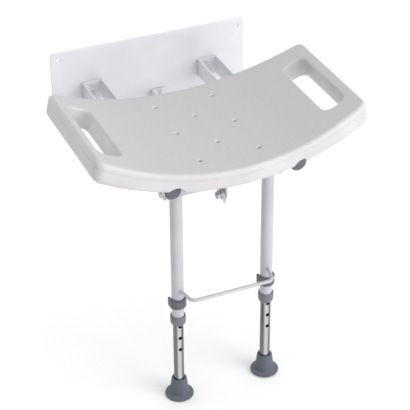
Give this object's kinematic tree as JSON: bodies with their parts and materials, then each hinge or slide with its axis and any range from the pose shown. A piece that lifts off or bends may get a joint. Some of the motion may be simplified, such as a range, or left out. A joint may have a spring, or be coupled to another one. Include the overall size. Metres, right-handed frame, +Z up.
{
  "type": "wall-mounted fold-up shower seat",
  "caption": "Curved shower seat hinged on a wall plate, with two handle openings, drop-down legs of adjustable length, a strut that keeps the legs upright, and flared rubber feet.",
  "frame": {"origin": "centre of the wall plate's back face, where it lies on the wall", "axes": "+X to the right as seen from the front, +Y into the wall, +Z up; the floor is at z = -0.488 m with the legs as stored"},
  "size_m": [0.4946, 0.412, 0.563],
  "materials": {
    "powder_coat": "white polyester powder coat, satin",
    "seat_moulding": "light grey moulded polyethylene, fine grain",
    "dark_plastic": "dark grey moulded plastic, satin",
    "grey_plastic": "mid grey moulded plastic, satin",
    "foot_rubber": "blue-grey moulded rubber, matt",
    "anodised_aluminium": "drawn tube, clear anodised",
    "zinc_steel": "bright zinc plated fasteners"
  },
  "bodies": {
    "wall_mount": {"wall_plate": "powder_coat", "hinge_bracket_left": "powder_coat", "hinge_bracket_right": "powder_coat", "bracket_screw_left_1": "powder_coat", "bracket_screw_left_2": "powder_coat", "bracket_screw_right_1": "powder_coat", "bracket_screw_right_2": "powder_coat", "strut_bracket_wall": "powder_coat", "strut_bracket_screw_1": "powder_coat", "strut_bracket_screw_2": "powder_coat", "hinge_bolt_left": "zinc_steel", "hinge_bolt_right": "zinc_steel", "hinge_nut_left": "zinc_steel", "hinge_nut_right": "zinc_steel", "strut_bolt_wall": "zinc_steel", "strut_nut_wall": "zinc_steel", "strut_washer_wall": "zinc_steel"},
    "seat": {"seat_shell_upper": "seat_moulding", "seat_shell_lower": "seat_moulding", "side_tube_left": "powder_coat", "side_tube_right": "powder_coat", "tube_plug_left": "dark_plastic", "tube_plug_right": "dark_plastic", "leg_lug_left": "powder_coat", "leg_lug_right": "powder_coat", "seat_screw_left_1": "zinc_steel", "seat_screw_left_2": "zinc_steel", "seat_screw_left_3": "zinc_steel", "seat_screw_right_1": "zinc_steel", "seat_screw_right_2": "zinc_steel", "seat_screw_right_3": "zinc_steel"},
    "leg_frame": {"crossbar": "powder_coat", "crossbar_insert_left": "zinc_steel", "crossbar_insert_right": "zinc_steel", "leg_bolt_left": "zinc_steel", "leg_bolt_right": "zinc_steel", "upper_leg_left": "powder_coat", "upper_leg_right": "powder_coat", "leg_collar_left": "grey_plastic", "leg_collar_right": "grey_plastic", "brace_rod": "powder_coat", "strut_bracket_leg": "powder_coat", "strut_bolt_leg": "zinc_steel", "strut_nut_leg": "zinc_steel", "strut_washer_leg": "zinc_steel"},
    "strut": {"strut": "powder_coat"},
    "lower_leg_left": {"lower_leg_left": "anodised_aluminium", "foot_left": "foot_rubber"},
    "lock_clip_left": {"lock_clip_left": "dark_plastic"},
    "lower_leg_right": {"lower_leg_right": "anodised_aluminium", "foot_right": "foot_rubber"},
    "lock_clip_right": {"lock_clip_right": "dark_plastic"}
  },
  "joints": [
    {"name": "seat_fold", "type": "hinge", "parent": "wall_mount", "child": "seat", "pos_m": [0, -0.1, -0.01], "axis": [-1, 0, 0], "range_deg": [0, 92]},
    {"name": "leg_fold", "type": "hinge", "parent": "seat", "child": "leg_frame", "pos_m": [0, -0.332, -0.048], "axis": [-1, 0, 0], "range_deg": [-92, 0]},
    {"name": "strut_fold", "type": "hinge", "parent": "wall_mount", "child": "strut", "pos_m": [0, -0.105, -0.035], "axis": [-1, 0, 0], "range_deg": [0, 92]},
    {"name": "leg_slide_left", "type": "slide", "parent": "leg_frame", "child": "lower_leg_left", "axis": [0, 0, -1], "range_m": [-0.1016, 0.0254]},
    {"name": "leg_slide_right", "type": "slide", "parent": "leg_frame", "child": "lower_leg_right", "axis": [0, 0, -1], "range_m": [-0.1016, 0.0254]},
    {"name": "clip_pull_left", "type": "slide", "parent": "leg_frame", "child": "lock_clip_left", "axis": [0, -1, 0], "range_m": [0, 0.03]},
    {"name": "clip_pull_right", "type": "slide", "parent": "leg_frame", "child": "lock_clip_right", "axis": [0, -1, 0], "range_m": [0, 0.03]}
  ],
  "couplings": [
    {"joint": "leg_fold", "follows": "seat_fold", "ratio": -1},
    {"joint": "strut_fold", "follows": "seat_fold", "ratio": 1}
  ]
}
